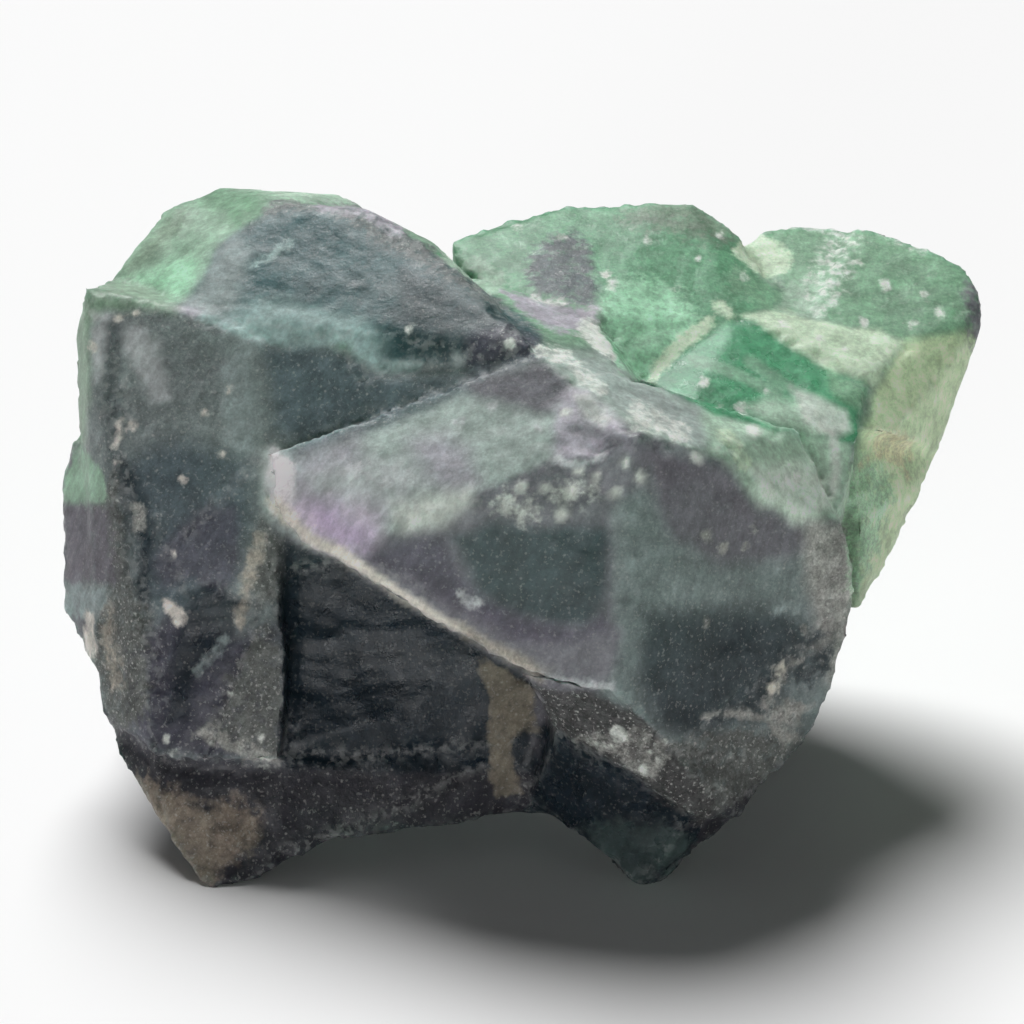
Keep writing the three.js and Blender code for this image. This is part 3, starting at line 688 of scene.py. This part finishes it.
line("level crack of the right face", "pale grit", 0.2, (13.2, 4.3), (16, 4.6), (17.8, 4.2), (21.2, 4.8),
     cover=0.85)
line("crack up to the edge", "pale grit", 0.2, (22.6, 10), (20.4, 8.6), (19.3, 7.8), (17.6, 5),
     cover=0.85)
spots("cream bits in the crack", "cream", 0.55, (18.6, 7.6), (18.1, 6.4))
spots("pale specks of the right face", "pale grit", 0.3, (14.2, 16.6), (15.9, 16.6), (16.5, 17.9),
      (12.9, 17.4), (20.5, 10.7), (13, 11.2), cover=0.8)
line("soft light of the right face", "haze", 0.3, (18.4, 12.1), (20, 12.2), cover=0.6)
patch("frost on the lip", "pale grit", (3.8, 2.6), (5, 3), (6.6, 2.7), (8, 3.4), (10, 2.4), (10, 1.2),
      (8.9, 0), (8, 0.3), (6.5, 1.4), (5, 1.9), cover=0.6, soft=0.5)
spots("bubble", "milk", 0.75, (6.5, 3.3))
spots("eye of the bubble", "grit", 0.2, (6.5, 3.3), cover=1.0)
spots("white specks of the lip", "milk", 0.26, (5.1, 2.3), (6, 2.2), (8.9, 1.9), (9.5, 1.4), (10.1, 2.6),
      (8.4, 0.5))
patch("bottle green of the foot", "bottle", (4, -4.2), (6, -3.4), (10, -3.8), (12, -4.6), (12, -6.4),
      (8, -8.4), (5.6, -6.6), cover=0.95, soft=0.7)
print(len(stains), "stains so far")

# %% [markdown]
# ## The pale band, the step and the shelf
# The band above the right face is foggy mint, and whitens where it has been knocked. The step behind
# it is the most saturated green of the stone. A cream shelf ends it towards the wing.

# %% Band, step and shelf
patch("misty start of the band", "misty mint", (1.4, 30.3), (5, 31), (9, 28.8), (12.6, 26.8), (13, 23.4),
      (10.6, 24.2), (8, 25.2), (5, 27.8), (3, 29.2), cover=0.9, soft=0.6)
line("white rim of the band", "milk", 0.45, (1, 31), (3, 30.4), (4.2, 29.2), (5.4, 28.2), cover=0.65)
spots("white bruises of the band", "milk", 0.75, (8.3, 25.9), (9.6, 25.5), (10.6, 25.1), cover=0.7,
      soft=0.7)
patch("jade cheek", "jade", (16.2, 22.4), (20, 23), (22, 22), (22.6, 19.6), (21.6, 19), (19.4, 18.6),
      (18.6, 19.6), (16.8, 19.8), cover=0.8, soft=0.8)
line("cream seam of the band", "cream mint", 0.4, (14.2, 24.9), (15.2, 24), (15.7, 22.6), cover=0.75)
line("white frost on the right edge", "milk", 0.32, (22.6, 25.4), (22.9, 22.5), (22.6, 20.8), cover=0.9)
line("white fleck of the cheek", "milk", 0.25, (18.8, 21.5), (19.8, 21.8))
spots("small white flecks of the band", "milk", 0.45, (12.2, 23.1), (16.5, 25.2))
patch("mint foot of the step", "mint", (16.2, 27), (18, 27.9), (20, 27.6), (22.4, 26), (22.6, 24.6),
      (20, 25), (18, 25.8), cover=0.85, soft=0.6)
line("long streak on the step", "mint", 0.35, (12.4, 30.8), (16.6, 29.2), (18.6, 28.2), cover=0.45)
line("short streak on the step", "mint", 0.35, (16.8, 30.6), (19.4, 28.8), cover=0.4)
patch("white bruise on the step", "milk", (19.8, 28.6), (21, 28.1), (22.6, 27.4), (24, 26.8),
      (24.2, 25.4), (22.8, 25), (20.6, 26), cover=0.65, soft=0.6)
patch("sage corner of the step", "sage", (22.8, 29.6), (25.8, 28.9), (25.4, 27), (24.4, 27),
      (22.8, 28.2), cover=0.9, soft=0.4)
spots("white spots of the step", "milk", 0.34, (13.2, 29), (14.2, 27.2), (15.8, 26.9), (17.9, 28.2))
patch("cream shelf", "cream mint", (16.4, 34.3), (18, 34.6), (20, 34.8), (22, 34.1), (24, 33.4),
      (27, 33.3), (28.8, 32.3), (28, 31), (26.9, 29.4), (26.2, 28.6), (25.8, 29.2), (22.3, 30.4),
      (20.5, 31.6), (18.8, 33), (17.4, 33.9), soft=0.3)
spots("white chips of the shelf", "milk", 0.3, (22.3, 32.5), (24, 31.6), (19.6, 33.6), cover=0.8)
print(len(stains), "stains so far")

# %% [markdown]
# ## The long slab and the wing
# The slab behind holds a dark patch, with a lilac valley and a milky seam in front of it. The wing is
# sage on top and yellower on its outer face, with a round cream patch at its root.

# %% Slab and wing
patch("dark patch of the slab", "dusky teal", (0.2, 38.8), (1.6, 40.2), (3.6, 41), (4.7, 40),
      (5.2, 38.4), (5.8, 36), (5.2, 34.7), (3, 35.1), (1, 35.8), (0.2, 36.4), cover=0.95, soft=0.6)
patch("grey crest of the slab", "moss grey", (7.6, 42.2), (12, 45), (17.4, 42), (17, 40.4), (14, 40.6),
      (10, 41.4), cover=0.85, soft=1.0)
# painted glow of light through the thin front of the slab
patch("painted glow at the foot of the slab", "spring green glow", (5.8, 35.6), (7.2, 36.9), (9.4, 37), (11.4, 36.2), (13, 34.4),
      (12.4, 32.4), (10, 30.6), (9, 29.2), (7.4, 30.5), (6.5, 32.2), cover=0.8, soft=0.9)
patch("sage strip of the slab", "sage", (16.2, 38.4), (18, 37.6), (19.6, 36.6), (20.2, 35.6), (19, 34.9),
      (17, 35.4), (15.3, 36), cover=0.7, soft=0.7)
patch("mint start of the valley", "mint", (-6.2, 39), (-4, 38.8), (-2.3, 38.2), (-1.7, 37.2), (-1.4, 36),
      (-2.6, 35.8), (-4, 36.8), (-5.6, 37.8), cover=0.95, soft=0.35)
patch("lilac valley", "lilac", (-1.8, 36.1), (0, 35.8), (3, 34.9), (5.5, 34.7), (5.6, 33.7), (4.2, 32.6),
      (2.6, 32.6), (1, 33.4), (-0.2, 34.2), soft=0.35)
patch("white block of the valley", "milk", (3.8, 32.7), (4.2, 33.8), (4.9, 34.1), (5.6, 33.4), (6.3, 32),
      (6.6, 30.9), (6, 30.7), (4.9, 31.3), soft=0.3)
line("white seam of the valley", "milk", 0.16, (0.6, 35.5), (1.6, 35.2), (2.8, 35.2), cover=0.8)
patch("cream edge of the slab", "cream mint", (9.1, 28.8), (9.6, 30.3), (11, 31.9), (12.5, 33.1),
      (13.9, 34.1), (14.4, 33.7), (13.4, 32.8), (11.6, 31.2), (10, 29.7), soft=0.3)
patch("cream flake of the slab", "cream mint", (14.2, 35.3), (15.2, 35.3), (16, 34.4), (15.4, 34),
      (14.6, 34.4), soft=0.3)
spots("white chips of the slab", "milk", 0.26, (9.6, 40.4), (13.3, 38.9), (11.5, 36.3), (2.9, 40.6),
      (-0.6, 41.4), (6.2, 37.4), (17, 37.4), (15.2, 40.9), cover=0.65)
line("white chip beside the dark patch", "milk", 0.28, (6.2, 37.6), (6.6, 36.6))
patch("round cream patch", "cream mint", (16.3, 40), (17.4, 41.3), (19, 41), (20.3, 40.1), (20.9, 39),
      (20.5, 38), (19.3, 37.3), (18.3, 37.5), (17, 38.6), (16.2, 39.2), soft=0.25)
patch("mint foot of the wing top", "mint", (20, 35), (20.4, 37), (22, 37.6), (24.4, 38.4), (24, 35.4),
      (22.2, 34.2), cover=0.7, soft=0.8)
line("long streak of the wing", "milk", 0.5, (25.6, 41.4), (24, 37.4), (23, 35.2), cover=0.3, soft=0.8)
line("second streak of the wing", "milk", 0.4, (24.4, 41), (22.6, 37), cover=0.25, soft=0.8)
line("knocked rim of the wing", "milk", 0.2, (21.4, 42), (23.2, 41.6), (25, 42), cover=0.35)
line("knocked rim further right", "milk", 0.2, (28, 41.3), (29.2, 40.7), (31.2, 39.8), cover=0.35)
spots("white chips of the wing", "milk", 0.36, (27.9, 36.8), (31.9, 34.6), (29.6, 33.8), (26, 38.8),
      (30.8, 36), (21.8, 35.9), (25.9, 33.9), cover=0.8)
patch("dusky margin of the wing", "dusk", (34.2, 37), (36.6, 37.6), (36.6, 32.4), (34.8, 31.6),
      (34.3, 34), cover=0.85, soft=0.6)
patch("straw patch of the wing", "straw", (26.4, 25.6), (28, 25.2), (29.6, 24.8), (29.6, 23.3),
      (28, 22.9), (26.4, 23.6), cover=0.8, soft=0.7)
patch("green foot of the wing", "fern", (24, 22.6), (25.6, 23.4), (27, 22.8), (28, 21), (27.4, 18.4),
      (26.4, 15.4), (25, 12.4), (24, 14), cover=0.9, soft=0.7)
line("hairlines of the wing", "straw", 0.14, (25.2, 22.6), (26.4, 23.6), (28, 23.2), (29.4, 21.8),
     cover=0.7)
print(len(stains), "stains in all")

# %% [markdown]
# ## The coat under the stains
# Where the sheet doesn't reach, at the sides, the back and below, the coat is darker towards the bottom:
# nearly black low down and dusky in the middle. Above that the stone keeps its growth layers, green
# towards the top and the back, with clouds of heather all over. Bands that lean back, bent by soft noise,
# are enough for the layers.

# %% Coat
depths = np.array(depths)
covers = ramp(depths, -1, 1)


def full(tint):
    colour, frosted, gritty = tints[tint]
    return np.array([*colour, frosted, gritty])


def lay(coat, tint, cover):
    """Lays a tint over the coat, by how much it covers each point."""
    return coat + (full(tint) - coat) * cover[:, None]


across_growth = [0.2, 0.8, 0.6]
bending = 5 * noise_at(place, size=11.0, seed=41.0)
wobble = 2 * noise_at(place, size=3.0, seed=43.0)
growth = place @ across_growth + bending + wobble
# darker towards the bottom: night low down, turning dusk between 4 and 20 mm up
coat = lay(np.tile(full("night"), (len(place), 1)), "dusk", ramp(place[:, 2], 4.0, 20.0))
coat = lay(coat, "sage", ramp(growth, 15.0, 22.0))
coat = lay(coat, "celadon", 0.7 * ramp(growth, 27.0, 31.0))
coat = lay(coat, "heather", 0.4 * ramp(noise_at(place, size=9.0, seed=51.0), 0.15, 0.45))
print("coat over", len(coat), "points")

# %% [markdown]
# ## Crisp stains in layers
# Colours stored on points blur over the width of a face. So the lowest stains go into the coat, and
# the rest into layers that each store a colour and a depth instead of a mixture. The material turns
# depth into cover, with fine noise, and the outline comes out finer than the skin's own faces.
# Stains that touch get different layers, counted down from the topmost.

# %% Layers
layer_count = 5
nearby = -1.4  # from this depth up, the material's noise can bring a stain out
few_points = 12  # stains that share no more points than this don't count as touching
depth_range = 8  # a depth is stored as 0.5 + depth / depth_range, which stays between 0 and 1

near_stain = (depths > nearby).astype(np.float32)
touching = near_stain @ near_stain.T > few_points
level = np.ones(len(stains), int)
for lower in reversed(range(len(stains))):
    for upper in range(lower + 1, len(stains)):
        if touching[lower, upper]:
            level[lower] = max(level[lower], level[upper] + 1)

finishes = coat[:, 3:].copy()  # frost and grit
for index, (name, tint) in enumerate(stains):
    finishes += (full(tint)[3:] - finishes) * covers[index][:, None]
    if level[index] > layer_count:
        coat = lay(coat, tint, covers[index])


def store(name, colours, fourth):
    """Keeps three numbers and a fourth on every point, under a name that the material can read."""
    kept = crystal.data.attributes.new(name, "FLOAT_COLOR", "POINT")
    kept.data.foreach_set("color", np.column_stack([colours, fourth]).astype(np.float32).ravel())


whole = np.ones(len(coat))
# nearness to a sharp edge: whitish worn edges, partly painted highlights where the edges catch the light
edge_wear_and_highlight = np.exp(-edge_distance / 0.35)
stain_colours = np.array([full(tint)[:3] for name, tint in stains])
store("stain", coat[:, :3], whole)
store("finish", np.column_stack([finishes, edge_wear_and_highlight]), whole)
for number in range(layer_count, 0, -1):
    members = np.flatnonzero(level == number)
    uppermost = members[depths[members].argmax(axis=0)]
    depth = depths[uppermost, np.arange(len(place))]
    store(f"layer {number}", stain_colours[uppermost], 0.5 + depth / depth_range)
    print("layer", number, "carries", len(members), "stains")
print("in the coat:", (level > layer_count).sum(), "stains")

# %% [markdown]
# ## Steps for building the material
# A material is a web of nodes. Each function here adds one or two and joins them up, so the cells
# that follow read like sums. All patterns are worked out in the stone's own space, so they stay put
# from wherever the stone is seen.


# %% Steps for nodes
def node(tree, kind, **settings):
    """A new node, with its settings and the plain values of its inputs."""
    made = tree.nodes.new(kind)
    for key, value in settings.items():
        if key in made.inputs:
            made.inputs[key].default_value = value
        else:
            setattr(made, key, value)
    return made


fluorite = bpy.data.materials.new("fluorite")
fluorite.use_nodes = True
tree = fluorite.node_tree
link = tree.links.new
stone = tree.nodes["Principled BSDF"]
output = tree.nodes["Material Output"]
place_in_stone = node(tree, "ShaderNodeTexCoord").outputs["Object"]


def attribute(name):
    return node(tree, "ShaderNodeAttribute", attribute_name=name)


def separated(colour):
    """The three numbers that a colour is made of."""
    made = node(tree, "ShaderNodeSeparateColor")
    link(colour, made.inputs["Color"])
    return made.outputs


def stone_noise(size_mm, detail=3.0, roughness=0.55, space=place_in_stone):
    """Noise that fills the stone, with swells of size_mm."""
    made = node(tree, "ShaderNodeTexNoise", Scale=1 / (size_mm * MM), Detail=detail, Roughness=roughness)
    link(space, made.inputs["Vector"])
    return made.outputs["Fac"]


def stone_cells(size_mm):
    """Small cells that fill the stone: the distance from a cell's middle, and its random numbers."""
    made = node(tree, "ShaderNodeTexVoronoi", Scale=1 / (size_mm * MM))
    link(place_in_stone, made.inputs["Vector"])
    return made.outputs["Distance"], separated(made.outputs["Color"])


def between(value, low, high, to_low, to_high):
    """Turns low to high into to_low to to_high, smoothly."""
    made = node(tree, "ShaderNodeMapRange")
    made.interpolation_type = "SMOOTHSTEP"
    link(value, made.inputs["Value"])
    for key, number in zip(("From Min", "From Max", "To Min", "To Max"), (low, high, to_low, to_high)):
        made.inputs[key].default_value = number
    return made.outputs["Result"]


def joined(made, sockets, values):
    """Gives each socket a plain value, or links it to another node's output."""
    for socket, value in zip(sockets, values):
        if isinstance(value, bpy.types.NodeSocket):
            link(value, socket)
        else:
            socket.default_value = value
    return made.outputs


def times(first, second):
    made = node(tree, "ShaderNodeMath", operation="MULTIPLY")
    return joined(made, made.inputs, (first, second))[0]


def plus(first, second):
    made = node(tree, "ShaderNodeMath", operation="ADD")
    return joined(made, made.inputs, (first, second))[0]


def mixed(share, first, second, way="MIX"):
    """Mixes two colours. A Mix node has sockets for every kind of data, and 6, 7 and 2 are colours."""
    made = node(tree, "ShaderNodeMix", data_type="RGBA", blend_type=way)
    return joined(made, (made.inputs[0], made.inputs[6], made.inputs[7]), (share, first, second))[2]


# edge carries the edge wear, partly painted edge highlights
frost, grit, edge = separated(attribute("finish").outputs["Color"])
print("fluorite starts with", len(tree.nodes), "nodes")

# %% [markdown]
# ## The colour of fluorite
# The layers of stains go over the coat, the lowest first, with frayed outlines. Fluorite is never one
# flat colour, so clouds, long streaks along the cleavage and fine grains of light and dark multiply it.
# Gritty parts get pale grains, partly painted glints, and painted glitter on top, and knocked edges turn
# whitish, partly as painted highlights where the edges catch the light.

# %% Colour of fluorite
fraying = between(stone_noise(0.8, 5, 0.6), 0.25, 0.75, -0.11, 0.11)
stained = attribute("stain").outputs["Color"]
for number in range(layer_count, 0, -1):
    paint = attribute(f"layer {number}")
    frayed = plus(paint.outputs["Alpha"], fraying)
    cover = between(frayed, 0.5 - 1 / depth_range, 0.5 + 1 / depth_range, 0, 1)
    stained = mixed(cover, stained, paint.outputs["Color"])

cleavage = node(tree, "ShaderNodeMapping", vector_type="TEXTURE", Rotation=(0.2, 0.4, 0), Scale=(1, 1, 6))
link(place_in_stone, cleavage.inputs["Vector"])
streaks = stone_noise(0.55, 3.0, 0.6, cleavage.outputs["Vector"])
crumb_distance, crumb_chance = stone_cells(0.7)

clouding = between(stone_noise(2.4, 5, 0.65), 0.3, 0.7, 0.78, 1.22)
streaking = between(streaks, 0.35, 0.68, 0.88, 1.16)
grain_strength = plus(times(grit, 0.9), 0.2)
graining = plus(1.0, times(between(stone_noise(0.22, 3, 0.75), 0.3, 0.7, -0.34, 0.34), grain_strength))
crumbling = plus(1.0, times(grit, plus(times(crumb_chance["Red"], 0.5), -0.25)))
mottled = stained
for darkening in (clouding, streaking, graining, crumbling):
    mottled = mixed(1.0, mottled, darkening, "MULTIPLY")

# pale grains of frost, partly painted glints, and the colour of painted glints on single cells
pale_grain_and_glint = (0.72, 0.73, 0.70, 1)
painted_glint_colour = (0.85, 0.84, 0.80, 1)
pale_edge_and_highlight = (0.62, 0.64, 0.62, 1)
grains_and_glints = times(between(stone_noise(0.26, 2), 0.60, 0.66, 0, 1), grit)
# painted glints: a few random cells on gritty faces turn pale, like tiny facets catching the light
glint_cell_distance, glint_cell_chance = stone_cells(0.34)
glinting_cells = between(glint_cell_chance["Red"], 0.86, 0.92, 0, 1)
painted_glitter = times(times(glinting_cells, between(glint_cell_distance, 0.15, 0.40, 1, 0)), times(grit, 0.75))
# worn, whitish edges, partly painted highlights where the edges catch the light
worn = times(between(stone_noise(0.6, 4), 0.45, 0.60, 0, 1), edge)
grained_and_glinting = mixed(times(grains_and_glints, 0.6), mottled, pale_grain_and_glint)
glinting = mixed(painted_glitter, grained_and_glinting, painted_glint_colour)
link(mixed(times(worn, 0.35), glinting, pale_edge_and_highlight), stone.inputs["Base Color"])
print("with its colour:", len(tree.nodes), "nodes")

# %% [markdown]
# ## The surface and body of fluorite
# Light goes into fluorite, is coloured on its way and comes out again, so the stone needs a real
# see-through share, fluorite's own refractive index and a faint absorption. Scattering under the
# surface stands for the small cracks inside. Frost makes the surface dull, and crumbs make it bumpy.

# %% Surface and body
shiny_crumbs = between(crumb_chance["Green"], 0.75, 0.85, 0.0, -0.08)
link(plus(between(frost, 0, 1, 0.30, 0.75), shiny_crumbs), stone.inputs["Roughness"])

bump = node(tree, "ShaderNodeBump", Strength=0.9, Distance=0.10 * MM)
crumbs = times(crumb_distance, plus(times(grit, 0.9), 0.1))
link(plus(times(crumbs, 0.6), times(stone_noise(0.3, 5, 0.7), 0.45)), bump.inputs["Height"])
link(bump.outputs["Normal"], stone.inputs["Normal"])

stone.inputs["IOR"].default_value = 1.434
stone.inputs["Specular IOR Level"].default_value = 0.2
stone.inputs["Transmission Weight"].default_value = 0.30
stone.inputs["Subsurface Weight"].default_value = 0.35
stone.inputs["Subsurface Radius"].default_value = (0.8, 1.5, 1.2)
stone.inputs["Subsurface Scale"].default_value = 2.0 * MM
absorb = node(tree, "ShaderNodeVolumeAbsorption", Color=(0.55, 0.86, 0.72, 1), Density=25)
link(absorb.outputs["Volume"], output.inputs["Volume"])
crystal.data.materials.append(fluorite)
print("fluorite nodes:", len(tree.nodes))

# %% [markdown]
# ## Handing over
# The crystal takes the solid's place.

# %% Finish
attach(crystal, "root")
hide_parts("fluorite_crystal")
